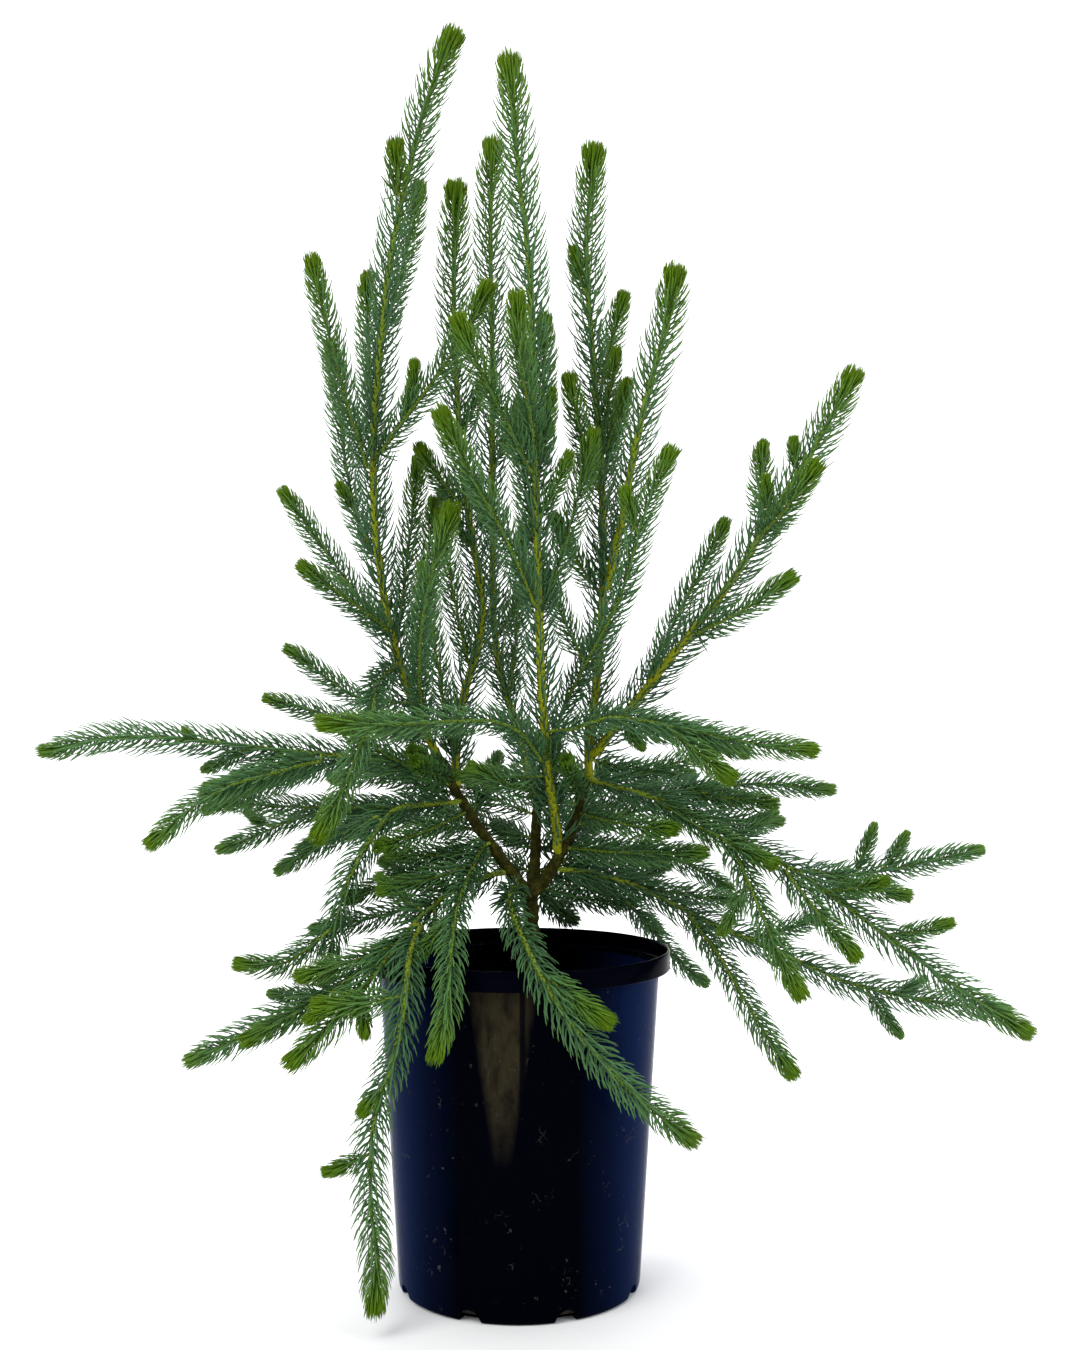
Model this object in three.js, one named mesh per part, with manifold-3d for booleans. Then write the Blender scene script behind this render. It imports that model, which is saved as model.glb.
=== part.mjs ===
// A potted brunia: a plastic nursery pot, its potting mix, a short woody trunk that forks into three limbs,
// and the leafy shoots that they carry. Millimetres, +Z up, origin at the middle of the pot's flat base,
// front on -Y.
import * as THREE from "three";
import { mergeVertices } from "three/addons/utils/BufferGeometryUtils.js";
import Module from "manifold-3d";

// Pot
const RIM_DIAMETER = 170;
const POT_HEIGHT = 189;
const BASE_DIAMETER = 136;
const RIM_BAND_HEIGHT = 11;
const RIM_STEP = 6; // how far the band stands out from the body below it
const POT_WALL = 1.8;
const BASE_THICKNESS = 2.4;
const BASE_EDGE_RADIUS = 3;
const DRAIN_HOLES = 8;
const DRAIN_HOLE_WIDTH = 13;
const DRAIN_HOLE_HEIGHT = 7;
const DRAIN_HOLE_DEPTH = 9; // how far each hole runs in from the edge of the base

// Potting mix
const MIX_BELOW_RIM = 32;
const MIX_MOUND = 4; // how far the mix rises round the trunk

// Woody frame
const TRUNK_DIAMETER = 9;
const TRUNK_OFFSET = 6; // the trunk stands a little to the right of the pot's middle
const TRUNK_DEPTH = 45; // how deep the trunk goes into the mix
const TRUNK_FLARE = 1.1; // width of the trunk's foot as a share of its width at the fork
const FORK_HEIGHT = 63;
const LIMB_DIAMETER = 7;
const LIMB_TAPER = 0.8; // width of a limb's end as a share of its start
const LIMB_START = 0.97; // where the limbs leave the trunk, as a share of its length

// Leafy shoots: overall growth, and the width over the needles
const PLANT_HEIGHT = 552; // from the mix to the tip of the tallest leader
const PLANT_SPREAD = 540; // from the tip furthest left to the tip furthest right
const LEADER_BRUSH = 19;
const SHOOT_BRUSH = 16;
const SPRIG_BRUSH = 13;
const STEM_DIAMETER = 3.6;
const OPENING_LENGTH = 18; // over which a shoot widens from its bare stem to its full brush
const TIP_SHARE = 0.8; // width of a shoot's head as a share of its brush

// Fits and facets
const FIT_GAP = 0.35;
const POT_SIDES = 64;
const MIX_SIDES = 48;
const WOOD_SIDES = 10;
const SHOOT_SIDES = 6;
const HOLE_SIDES = 16;
const RING_STEP = 24;
const WOOD_RING_STEP = 12;
const ROOM_STEP = 3; // how closely earlier pieces are measured when a shoot passes them
// The mix's top, from its edge to its middle, in shares of its radius and of its mound's height
const MOUND_SHAPE = [[1, 0], [0.6, 0.4], [0.25, 1], [0, 1]];
// A piece's last rings: how far before its end and how wide, in shares of the end's radius
const ROUND_END = [[0.4, 0.85], [0, 0.4]];

const RIM_RADIUS = RIM_DIAMETER / 2;
const BODY_RADIUS = RIM_RADIUS - RIM_STEP;
const BASE_RADIUS = BASE_DIAMETER / 2;
const BAND_BOTTOM = POT_HEIGHT - RIM_BAND_HEIGHT;
const MIX_TOP = POT_HEIGHT - MIX_BELOW_RIM;
const GROWN_HEIGHT = 552; // the height and spread that the routes below are given for
const GROWN_SPREAD = 540;
const rise = PLANT_HEIGHT / GROWN_HEIGHT;
const reach = PLANT_SPREAD / GROWN_SPREAD;

const wasm = await Module();
wasm.setup();

// Closed geometry to a solid for joining and cutting, and back.
function toSolid(geometry) {
  const bare = new THREE.BufferGeometry();
  bare.setAttribute("position", geometry.getAttribute("position"));
  bare.setIndex(geometry.getIndex());
  const merged = mergeVertices(bare, 1e-3);
  const triangles = [];
  const index = merged.getIndex().array;
  for (let i = 0; i < index.length; i += 3) {
    const [a, b, c] = index.slice(i, i + 3);
    if (a !== b && b !== c && c !== a) triangles.push(a, b, c);
  }
  const vertProperties = new Float32Array(merged.getAttribute("position").array);
  const triVerts = new Uint32Array(triangles);
  return new wasm.Manifold(new wasm.Mesh({ numProp: 3, vertProperties, triVerts }));
}

function toGeometry(solid) {
  const mesh = solid.getMesh();
  const geometry = new THREE.BufferGeometry();
  geometry.setAttribute("position", new THREE.BufferAttribute(mesh.vertProperties, 3));
  geometry.setIndex(new THREE.BufferAttribute(mesh.triVerts, 1));
  geometry.computeVertexNormals();
  return geometry;
}

function plastic(color) {
  return new THREE.MeshStandardMaterial({ color, roughness: 0.35, metalness: 0 });
}

function natural(color) {
  return new THREE.MeshStandardMaterial({ color, roughness: 0.8, metalness: 0 });
}

function mesh(name, geometry, material) {
  const made = new THREE.Mesh(geometry, material);
  made.name = name;
  return made;
}

// A profile of [radius, height] turned round the Z axis.
function turned(profile, sides) {
  const points = profile.map(([radius, height]) => new THREE.Vector2(radius, height));
  return new THREE.LatheGeometry(points, sides).rotateX(Math.PI / 2);
}

// How wide the inside of the pot's body is at a height.
function insideRadius(height) {
  const share = height / BAND_BOTTOM;
  return BASE_RADIUS + (BODY_RADIUS - BASE_RADIUS) * share - POT_WALL;
}

function potProfile() {
  const edge = BASE_EDGE_RADIUS;
  const rounding = edge * (1 - Math.SQRT1_2);
  const lean = (BODY_RADIUS - BASE_RADIUS) * (edge / BAND_BOTTOM);
  const bandInside = RIM_RADIUS - POT_WALL;
  return [
    [0, 0],
    [BASE_RADIUS - edge, 0],
    [BASE_RADIUS - rounding, rounding],
    [BASE_RADIUS + lean, edge],
    [BODY_RADIUS, BAND_BOTTOM],
    [RIM_RADIUS, BAND_BOTTOM],
    [RIM_RADIUS, POT_HEIGHT - POT_WALL / 2],
    [RIM_RADIUS - POT_WALL / 2, POT_HEIGHT],
    [bandInside, POT_HEIGHT - POT_WALL / 2],
    [bandInside, BAND_BOTTOM + POT_WALL],
    [BODY_RADIUS - POT_WALL, BAND_BOTTOM + POT_WALL],
    [insideRadius(BASE_THICKNESS), BASE_THICKNESS],
    [0, BASE_THICKNESS],
  ];
}

function makePot() {
  let solid = toSolid(turned(potProfile(), POT_SIDES));
  const roundness = DRAIN_HOLE_WIDTH / 2;
  for (let i = 0; i < DRAIN_HOLES; i++) {
    const hole = new THREE.CylinderGeometry(roundness, roundness, DRAIN_HOLE_DEPTH * 2, HOLE_SIDES);
    hole.rotateZ(Math.PI / 2);
    hole.translate(BASE_RADIUS, 0, DRAIN_HOLE_HEIGHT - roundness);
    hole.rotateZ((2 * Math.PI * (i + 0.5)) / DRAIN_HOLES);
    solid = solid.subtract(toSolid(hole));
  }
  return solid;
}

function makeMix(trunk) {
  const bottom = BASE_THICKNESS + FIT_GAP;
  const fit = (height) => insideRadius(height) - FIT_GAP;
  const top = fit(MIX_TOP);
  const mound = MOUND_SHAPE.map(([out, up]) => [top * out, MIX_TOP + MIX_MOUND * up]);
  const profile = [[0, bottom], [fit(bottom), bottom], ...mound];
  return toSolid(turned(profile, MIX_SIDES)).subtract(trunk.grown);
}

// A point of the plant, from where the trunk leaves the mix.
function at(x, y, z) {
  return new THREE.Vector3(x * reach, y * reach, MIX_TOP + z * rise);
}

// A point beside the pot: degrees round from +X, the way out from the rim's edge, and the height above the
// ground as a share of the pot's height.
function beside(turn, out, share) {
  const angle = THREE.MathUtils.degToRad(turn);
  const radius = RIM_RADIUS + out;
  return new THREE.Vector3(radius * Math.cos(angle), radius * Math.sin(angle), share * POT_HEIGHT);
}

const grown = new Map(); // every woody or leafy piece so far, by name

// How much room there is round a point before the nearest piece that has grown.
function roomAt(point) {
  let room = Infinity;
  for (const piece of grown.values())
    for (const ring of piece.rings) room = Math.min(room, ring.point.distanceTo(point) - ring.radius);
  return room - FIT_GAP;
}

// A closed sleeve along a curve, made of a cylinder whose rings are moved onto it. radii gives each ring's
// radius.
function sleeve(curve, places, radii, sides) {
  const geometry = new THREE.CylinderGeometry(1, 1, places.length - 1, sides, places.length - 1);
  const position = geometry.getAttribute("position");
  const half = (places.length - 1) / 2;
  const centres = places.map((place) => curve.getPointAt(place));
  const tangents = places.map((place) => curve.getTangentAt(place));
  const level = new THREE.Vector3(0, 1, 0);
  const normals = tangents.map((tangent) => {
    level.addScaledVector(tangent, -level.dot(tangent)).normalize();
    return level.clone();
  });
  for (let i = 0; i < position.count; i++) {
    const ring = Math.round(position.getY(i) + half);
    const across = new THREE.Vector3().crossVectors(tangents[ring], normals[ring]);
    const moved = centres[ring].clone();
    moved.addScaledVector(across, position.getX(i) * radii[ring]);
    moved.addScaledVector(normals[ring], position.getZ(i) * radii[ring]);
    position.setXYZ(i, moved.x, moved.y, moved.z);
  }
  return geometry;
}

// Rings for working out room: the sleeve's own, filled in between so that they lie close together.
function closeRings(curve, length, places, radii) {
  const rings = [];
  const count = Math.ceil(length / ROOM_STEP);
  for (let i = 0; i <= count; i++) {
    const place = i / count;
    let k = 1;
    while (k < places.length - 1 && places[k] < place) k++;
    const share = THREE.MathUtils.clamp((place - places[k - 1]) / (places[k] - places[k - 1]), 0, 1);
    const radius = THREE.MathUtils.lerp(radii[k - 1], radii[k], share);
    rings.push({ point: curve.getPointAt(place), radius });
  }
  return rings;
}

// Makes a piece, less what the cutters take from it, and keeps it for the pieces that grow past it.
function keep(name, curve, places, radii, sides, cutters, color) {
  const wider = radii.map((radius) => radius + FIT_GAP);
  let solid = toSolid(sleeve(curve, places, radii, sides));
  for (const cutter of cutters) solid = solid.subtract(cutter);
  grown.set(name, {
    curve,
    solid,
    grown: toSolid(sleeve(curve, places, wider, sides)),
    rings: closeRings(curve, curve.getLength(), places, radii),
    material: natural(color),
  });
}

function cuttersSoFar() {
  return [...grown.values()].map((piece) => piece.grown);
}

// The last rings of a piece, which round it off within the end's radius.
function roundEnd(length, radius) {
  return {
    places: ROUND_END.map(([back]) => 1 - (back * radius) / length),
    radii: ROUND_END.map(([, share]) => share * radius),
  };
}

// The trunk or a limb: bare wood that tapers a little and ends round.
function growWood(name, points, fromRadius, toRadius, cutters) {
  const curve = new THREE.CatmullRomCurve3(points, false, "centripetal");
  const length = curve.getLength();
  const steps = Math.max(3, Math.round(length / WOOD_RING_STEP));
  const end = roundEnd(length, toRadius);
  const places = [];
  const radii = [];
  for (let i = 0; i <= steps; i++) {
    places.push((i / steps) * (1 - toRadius / length));
    radii.push(THREE.MathUtils.lerp(fromRadius, toRadius, i / steps));
  }
  keep(name, curve, [...places, ...end.places], [...radii, ...end.radii], WOOD_SIDES, cutters, "#4a3820");
}

// A leafy shoot: a stem's width where it leaves its parent, then as wide as its needles reach, narrower
// where it passes close to an earlier piece, with a round head.
function growShoot(name, [parent, place], brush, through) {
  const source = grown.get(parent);
  const points = [source.curve.getPointAt(place), ...through];
  const curve = new THREE.CatmullRomCurve3(points, false, "centripetal");
  const length = curve.getLength();
  const full = brush / 2;
  const head = full * TIP_SHARE;
  const neck = STEM_DIAMETER / 2;
  const brushed = length - OPENING_LENGTH - head;
  const steps = Math.max(1, Math.round(brushed / RING_STEP));
  const end = roundEnd(length, head);
  const along = [0, OPENING_LENGTH / 2];
  for (let i = 0; i <= steps; i++) along.push(OPENING_LENGTH + (brushed * i) / steps);
  const places = along.map((distance) => distance / length);
  const radii = along.map((distance) => {
    const opened = neck + (full - neck) * THREE.MathUtils.smoothstep(distance, neck, OPENING_LENGTH);
    const wanted = THREE.MathUtils.lerp(opened, head, distance / length);
    const room = roomAt(curve.getPointAt(distance / length));
    return THREE.MathUtils.clamp(room, Math.min(neck, wanted), wanted);
  });
  const color = brush === SPRIG_BRUSH ? "#4f8433" : "#2f6b3a";
  keep(name, curve, [...places, ...end.places], [...radii, ...end.radii], SHOOT_SIDES, cuttersSoFar(), color);
}

// Trunk and limbs
const fork = at(TRUNK_OFFSET, 0, FORK_HEIGHT);
const trunkRadius = TRUNK_DIAMETER / 2;
const limbRadius = LIMB_DIAMETER / 2;
const trunkFoot = new THREE.Vector3(fork.x, 0, MIX_TOP - TRUNK_DEPTH);
const trunkWaist = at(TRUNK_OFFSET + 1, 0, FORK_HEIGHT / 2);
growWood("trunk", [trunkFoot, trunkWaist, fork], trunkRadius * TRUNK_FLARE, trunkRadius, []);
const limbs = {
  limb_left: [at(-8, 0, 79), at(-22, 2, 98), at(-35, 2, 118), at(-46, 0, 141)],
  limb_middle: [at(9, 7, 82), at(9, 8, 98), at(10, 12, 115)],
  limb_right: [at(14, -1, 70), at(26, -2, 91), at(35, 0, 116), at(38, 2, 133)],
};
const crotch = grown.get("trunk").curve.getPointAt(LIMB_START);
for (const [name, points] of Object.entries(limbs))
  growWood(name, [crotch, ...points], limbRadius, limbRadius * LIMB_TAPER, cuttersSoFar());

// Tall leaders
growShoot("leader_left", ["limb_left", 0.97], LEADER_BRUSH, [
  at(-62, 4, 174), at(-71, 5, 203), at(-79, 5, 239), at(-83, 0, 291), at(-81, -5, 341), at(-72, -7, 425),
  at(-63, -7, 467), at(-52, -5, 512), at(-36, -4, 551),
]);
growShoot("leader_front", ["limb_right", 0.38], LEADER_BRUSH, [
  at(17, -25, 127), at(13, -40, 173), at(11, -45, 231), at(9, -45, 310), at(6, -40, 405), at(-1, -36, 469),
  at(-5, -32, 526),
]);
growShoot("leader_mid_left", ["limb_left", 0.78], LEADER_BRUSH, [
  at(-35, 31, 169), at(-22, 43, 220), at(-33, 47, 292), at(-38, 47, 357), at(-40, 47, 424),
  at(-38, 43, 482),
]);
growShoot("leader_back", ["limb_middle", 0.95], LEADER_BRUSH, [
  at(-1, 58, 152), at(-15, 79, 198), at(-18, 86, 297), at(-18, 86, 381), at(-19, 83, 451), at(-18, 81, 519),
]);
growShoot("leader_right", ["limb_right", 0.97], LEADER_BRUSH, [
  at(43, 7, 173), at(47, 9, 224), at(47, 11, 299), at(41, 11, 380), at(38, 9, 434), at(43, 7, 490),
]);
growShoot("leader_right_fork", ["leader_right", 0.26], LEADER_BRUSH, [
  at(56, -7, 264), at(63, -22, 308), at(73, -25, 350), at(83, -25, 387), at(86, -25, 412),
]);
growShoot("leader_slanting", ["leader_right", 0.02], LEADER_BRUSH, [
  at(66, -11, 172), at(89, -18, 202), at(116, -25, 235), at(135, -29, 267), at(160, -32, 307),
  at(176, -32, 336),
  at(185, -32, 354),
]);

// Side shoots of the left leader
growShoot("left_side_1", ["leader_left", 0.39], SHOOT_BRUSH, [
  at(-91, -25, 323), at(-102, -43, 368), at(-112, -43, 413),
]);
growShoot("left_side_2", ["leader_left", 0.27], SHOOT_BRUSH, [
  at(-97, 32, 284), at(-103, 40, 308), at(-113, 47, 387),
]);
growShoot("left_side_3", ["leader_left", 0.43], SPRIG_BRUSH, [
  at(-89, 36, 376), at(-92, 47, 410), at(-91, 47, 428),
]);
growShoot("left_side_4", ["leader_left", 0.75], SPRIG_BRUSH, [at(-68, -29, 467), at(-68, -32, 482)]);
growShoot("left_side_5", ["leader_left", 0.56], SPRIG_BRUSH, [
  at(-71, 25, 416), at(-65, 36, 443), at(-60, 40, 480),
]);
growShoot("left_side_6", ["leader_left", 0.41], SHOOT_BRUSH, [
  at(-63, -25, 328), at(-37, -40, 357), at(-15, -43, 399),
]);
growShoot("left_side_7", ["leader_left", 0.16], SHOOT_BRUSH, [
  at(-91, 25, 228), at(-112, 36, 256), at(-142, 40, 299),
]);
growShoot("left_side_8", ["leader_left", 0.18], SHOOT_BRUSH, [
  at(-84, -22, 221), at(-102, -40, 233), at(-119, -47, 246),
]);
growShoot("left_side_9", ["leader_left", 0.09], SHOOT_BRUSH, [
  at(-94, 29, 172), at(-116, 32, 187), at(-138, 32, 205),
]);
growShoot("left_side_10", ["leader_left", 0.03], SHOOT_BRUSH, [
  at(-84, 54, 156), at(-110, 61, 161), at(-156, 61, 175),
]);
growShoot("left_side_11", ["leader_left", 0.14], SHOOT_BRUSH, [
  at(-78, -31, 182), at(-77, -58, 167), at(-83, -65, 149), at(-90, -76, 126), at(-103, -90, 99),
]);

// Side shoots in the middle
growShoot("middle_side_1", ["leader_front", 0.47], SHOOT_BRUSH, [
  at(-9, -68, 324), at(-25, -90, 352), at(-31, -90, 369),
]);
growShoot("middle_side_2", ["leader_front", 0.31], SHOOT_BRUSH, [
  at(-6, -76, 256), at(-26, -104, 289), at(-39, -115, 317),
]);
growShoot("middle_side_3", ["leader_mid_left", 0.47], SPRIG_BRUSH, [
  at(-45, 11, 298), at(-52, 0, 308), at(-58, -7, 317),
]);
growShoot("middle_side_4", ["leader_left", 0.05], SHOOT_BRUSH, [
  at(-54, -40, 188), at(-50, -65, 220), at(-33, -83, 273),
]);
growShoot("middle_side_5", ["leader_front", 0.51], SPRIG_BRUSH, [
  at(3, -76, 338), at(0, -83, 358), at(0, -83, 383),
]);
growShoot("middle_side_6", ["leader_front", 0.46], SPRIG_BRUSH, [
  at(13, -11, 336), at(14, -4, 377), at(14, -4, 392),
]);

// Side shoots of the right and the slanting leader
growShoot("right_side_1", ["leader_right", 0.6], SHOOT_BRUSH, [at(54, 29, 385), at(61, 32, 413)]);
growShoot("right_side_2", ["leader_right", 0.46], SHOOT_BRUSH, [at(56, 36, 329), at(63, 43, 363)]);
growShoot("right_side_3", ["leader_right", 0.43], SHOOT_BRUSH, [at(36, -14, 315), at(27, -22, 354)]);
growShoot("right_side_4", ["leader_front", 0.13], SHOOT_BRUSH, [
  at(25, -7, 168), at(38, -36, 195), at(56, -58, 230), at(65, -68, 266), at(81, -68, 305),
]);
growShoot("slanting_side_1", ["leader_slanting", 0.62], SHOOT_BRUSH, [at(138, 4, 290), at(138, 11, 323)]);
growShoot("slanting_side_2", ["leader_slanting", 0.6], SHOOT_BRUSH, [
  at(139, -61, 269), at(157, -76, 297),
]);
growShoot("slanting_side_3", ["leader_slanting", 0.2], SHOOT_BRUSH, [
  at(90, 18, 219), at(107, 25, 250), at(120, 25, 279),
]);
growShoot("slanting_side_4", ["leader_slanting", 0.35], SHOOT_BRUSH, [
  at(111, -47, 214), at(148, -61, 239),
]);

// Shoots that reach out to the left
growShoot("outer_left_1", ["leader_front", 0.12], SHOOT_BRUSH, [
  at(-5, -68, 160), at(-46, -94, 160), at(-85, -104, 159), at(-101, -104, 161),
]);
growShoot("outer_left_2", ["limb_left", 0.9], LEADER_BRUSH, [
  at(-76, -14, 139), at(-127, -22, 144), at(-186, -25, 151), at(-226, -25, 152), at(-264, -25, 143),
]);
growShoot("outer_left_3", ["outer_left_2", 0.28], SHOOT_BRUSH, [
  at(-134, -47, 132), at(-156, -58, 126), at(-182, -65, 108), at(-195, -65, 94),
]);
growShoot("outer_left_4", ["limb_left", 0.7], SHOOT_BRUSH, [
  at(-70, 32, 110), at(-125, 43, 105), at(-159, 43, 91), at(-181, 43, 83),
]);
growShoot("outer_left_5", ["limb_left", 0.67], SHOOT_BRUSH, [
  at(-69, -20, 113), at(-86, -30, 89), at(-99, -32, 60), beside(-165, 21, 1.03), beside(-166, 25, 0.9),
]);
growShoot("outer_left_6", ["outer_left_5", 0.33], SHOOT_BRUSH, [
  at(-92, -12, 101), at(-118, -4, 88), at(-138, -2, 74),
]);

// Shoots that reach out to the right
growShoot("outer_right_1", ["leader_front", 0.16], SHOOT_BRUSH, [
  at(51, -58, 164), at(86, -61, 157), at(123, -65, 149), at(158, -65, 145),
]);
growShoot("outer_right_2", ["limb_right", 0.93], LEADER_BRUSH, [
  at(79, -14, 117), at(117, -25, 98), at(154, -36, 77), at(202, -47, 42), at(231, -54, 21),
  at(272, -61, -6),
]);
growShoot("outer_right_3", ["outer_right_2", 0.14], SHOOT_BRUSH, [
  at(103, 14, 122), at(146, 25, 124), at(185, 29, 119),
]);
growShoot("outer_right_4", ["outer_right_2", 0.46], SHOOT_BRUSH, [
  at(188, -11, 74), at(236, 7, 81), at(267, 11, 87),
]);
growShoot("outer_right_5", ["outer_right_2", 0.31], SHOOT_BRUSH, [
  at(126, -76, 63), at(132, -86, 45), at(146, -94, 19),
]);
growShoot("outer_right_6", ["outer_right_2", 0.42], SHOOT_BRUSH, [
  at(156, -58, 63), at(170, -65, 46), at(180, -65, 35),
]);
growShoot("outer_right_7", ["limb_right", 0.28], LEADER_BRUSH, [
  at(64, 4, 68), at(101, 11, 48), at(150, 14, 27), at(193, 14, 8), at(253, 11, -3), at(281, 7, -6),
]);
growShoot("outer_right_8", ["outer_right_7", 0.29], SHOOT_BRUSH, [
  at(111, -29, 31), at(121, -50, 11), at(146, -65, -28),
]);
growShoot("outer_right_9", ["limb_right", 0.4], SHOOT_BRUSH, [
  at(56, 40, 85), at(83, 54, 81), at(109, 61, 70), at(129, 65, 56),
]);
growShoot("outer_right_10", ["limb_right", 0.32], SHOOT_BRUSH, [
  at(41, 22, 72), beside(38, 0, 1.09), beside(39, 19, 1), beside(38, 37, 0.9), beside(35, 56, 0.81),
]);

// Shoots that trail over the rim and hang beside the pot
growShoot("trailing_1", ["limb_left", 0.1], SHOOT_BRUSH, [
  at(-6, -36, 65), beside(-88, -9, 1.085), beside(-84, 7, 1.03), beside(-81, 15, 0.965),
  beside(-72, 19, 0.84),
  beside(-56, 22, 0.67), beside(-35, 30, 0.51),
]);
growShoot("trailing_2", ["limb_left", 0.43], SHOOT_BRUSH, [
  at(-30, -50, 70), beside(-112, 6, 1.085), beside(-110, 15, 0.97), beside(-111, 18, 0.88),
  beside(-113, 21, 0.77),
]);
growShoot("trailing_3", ["limb_left", 0.22], SHOOT_BRUSH, [
  at(-33, -24, 68), beside(-137, -9, 1.115), beside(-136, 15, 1), beside(-139, 28, 0.915),
  beside(-147, 58, 0.73),
]);
growShoot("trailing_4", ["trailing_3", 0.5], SHOOT_BRUSH, [
  beside(-152, 20, 0.94), beside(-161, 49, 0.84), beside(-166, 87, 0.735), beside(-168, 101, 0.7),
]);
growShoot("trailing_5", ["trailing_3", 0.38], SHOOT_BRUSH, [
  beside(-124, 16, 1.015), beside(-125, 20, 0.83), beside(-133, 25, 0.58), beside(-135, 23, 0.385),
  beside(-132, 23, 0.16), beside(-130, 29, 0.065),
]);
growShoot("trailing_6", ["outer_left_5", 0.72], SPRIG_BRUSH, [
  at(-118, -44, 31), at(-135, -52, 30), at(-153, -54, 32),
]);

const brunia = new THREE.Group();
const pot = makePot();
const mix = makeMix(grown.get("trunk"));
brunia.add(mesh("pot", toGeometry(pot), plastic("#17181b")));
brunia.add(mesh("potting_mix", toGeometry(mix), natural("#2a2019")));
for (const [name, piece] of grown) brunia.add(mesh(name, toGeometry(piece.solid), piece.material));

export default brunia;
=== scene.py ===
import heapq
import math

import bmesh
import bpy
import numpy as np
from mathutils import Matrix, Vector


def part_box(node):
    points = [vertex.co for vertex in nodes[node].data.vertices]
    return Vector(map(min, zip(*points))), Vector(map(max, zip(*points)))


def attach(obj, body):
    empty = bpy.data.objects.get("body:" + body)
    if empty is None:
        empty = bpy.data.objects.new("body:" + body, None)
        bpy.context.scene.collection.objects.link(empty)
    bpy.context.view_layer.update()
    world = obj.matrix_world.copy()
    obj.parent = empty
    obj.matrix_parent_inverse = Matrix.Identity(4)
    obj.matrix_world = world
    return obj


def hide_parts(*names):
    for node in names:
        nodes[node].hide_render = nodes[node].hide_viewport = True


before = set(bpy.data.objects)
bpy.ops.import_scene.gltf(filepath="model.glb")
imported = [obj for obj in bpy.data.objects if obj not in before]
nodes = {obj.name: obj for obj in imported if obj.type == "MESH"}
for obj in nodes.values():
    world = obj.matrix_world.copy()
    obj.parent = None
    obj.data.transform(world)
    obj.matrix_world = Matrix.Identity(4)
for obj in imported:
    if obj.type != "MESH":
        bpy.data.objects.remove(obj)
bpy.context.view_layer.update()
rng = np.random.default_rng(7)

MM = 0.001
WOOD = ("trunk", "limb_left", "limb_middle", "limb_right")
SHOOTS = sorted(n for n in nodes if n not in WOOD and n not in ("pot", "potting_mix"))
LONG = (
    "outer_left_2", "outer_left_5", "outer_right_2", "outer_right_7",
    "trailing_1", "trailing_3", "trailing_4", "trailing_5",
)
GOLDEN_ANGLE = math.radians(137.508)
BAKE_MAP = "OFBake"
BLACK = (0, 0, 0)
WHITE = (1, 1, 1)

# Needles, in millimetres and degrees: on old wood, and on the young growth at the end of the stem
NEEDLE_LENGTH = (19.0, 15.0)
NEEDLE_OPENING = (63, 42)  # angle to the stem where the needle leaves it
NEEDLE_END = (14, -6)  # angle to the stem at the needle's point, after it has curved in
NEEDLE_BEND = 1.05  # above 1, a needle stays straight at first and curves towards its point
NEEDLES_PER_MM = (1.8, 8.0)
NEEDLE_RADIUS = (0.49, 0.32)
YOUNG_LENGTH = 16  # how far back from the stem's end the needles stay young
DENSE_LENGTH = 10  # how far back they stay crowded
TUFT_LENGTH = 13  # how far the needles of the head reach past the stem's end
TUFT_NEEDLES = 150
TUFT_OPENING = {"leader": 58, "long": 46, "side": 50, "sprig": 42}
TUFT_END = (6, -14)  # angle at the point of the head's middle needle, and what the outermost one adds
TUFT_ROOTS = (0.3, 1.2)  # distance of their roots from the stem's middle, and what the outermost one adds
TUFT_SHORTENING = 0.14  # how much shorter the head's outermost needles are than its middle ones
TUFT_THICKNESS = 0.88
ROOT_DISTANCE = 0.5
THICKNESS_POWER = 0.4  # below 1, the needles of small shoots thin out less than they shorten
NEEDLE_STEPS = 12
NEEDLE_DEPTH = 1.25  # a needle's size crosswise as a share of its size in the plane it curves in
SIZES = {"leader": 1.0, "long": 0.86, "side": 0.74, "sprig": 0.54}  # needles as a share of a leader's

# How unevenly needles grow: standard deviations, and the range of their thickness
TURN_SPREAD = 0.14
LENGTH_SPREAD = 0.07
OPENING_SPREAD = 3
END_SPREAD = 4
LEAN_SPREAD = 0.06
AGE_SPREAD = 0.04
THICKNESS_RANGE = (0.85, 1.15)

# Heads are bigger high up and towards the lit front, and their needles are painted brighter there: a younger
# age colour is painted light, standing in for the light that falls on them. Each height and each reach to
# the front is in metres, from where the gain starts to where it is full.
FRONT_REACH = (0.02, 0.08)
HEAD_HEIGHT = (0.38, 0.58)
HEAD_SIZE = (0.60, 0.40)  # size of the smallest head, and what full light adds
PAINTED_LIGHT_HEIGHT = (0.20, 0.50)
PAINTED_LIGHT_AGE = (0.45, 0.50)  # age colour of the dullest head, and what full light adds
# Needles high up are painted lighter by this much age colour, as painted light from above, between these
# heights in metres
TOP_PAINTED_LIGHT_HEIGHT = (0.35, 0.60)
TOP_PAINTED_LIGHT = 0.10
AGE_FADES = ((0.42, 70), (0.58, 9))  # shares of the head's colour, and how far down the stem each fades

SPINE_STEP = 5 * MM
WELD = 2e-5  # vertices of a CAD node closer than this are one


# ---------------------------------------------------------------- camera

SENSOR_WIDTH = 36
FOCAL_LENGTH = 42.8
FRAME_SHIFT = 0.026
CAMERA_PLACE = (0.0116, -0.910, 0.3236)


def add_camera():
    """A camera level with the middle of the plant, looking along +Y, with its frame raised a little."""
    data = bpy.data.cameras.new("camera")
    data.sensor_width = SENSOR_WIDTH
    data.lens = FOCAL_LENGTH
    data.shift_y = FRAME_SHIFT
    data.clip_start = 0.05
    data.clip_end = 50
    camera = bpy.data.objects.new("camera", data)
    camera.location = CAMERA_PLACE
    camera.rotation_euler = (math.radians(90), 0, 0)
    bpy.context.collection.objects.link(camera)
    bpy.context.scene.camera = camera


# ---------------------------------------------------------------- materials

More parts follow.
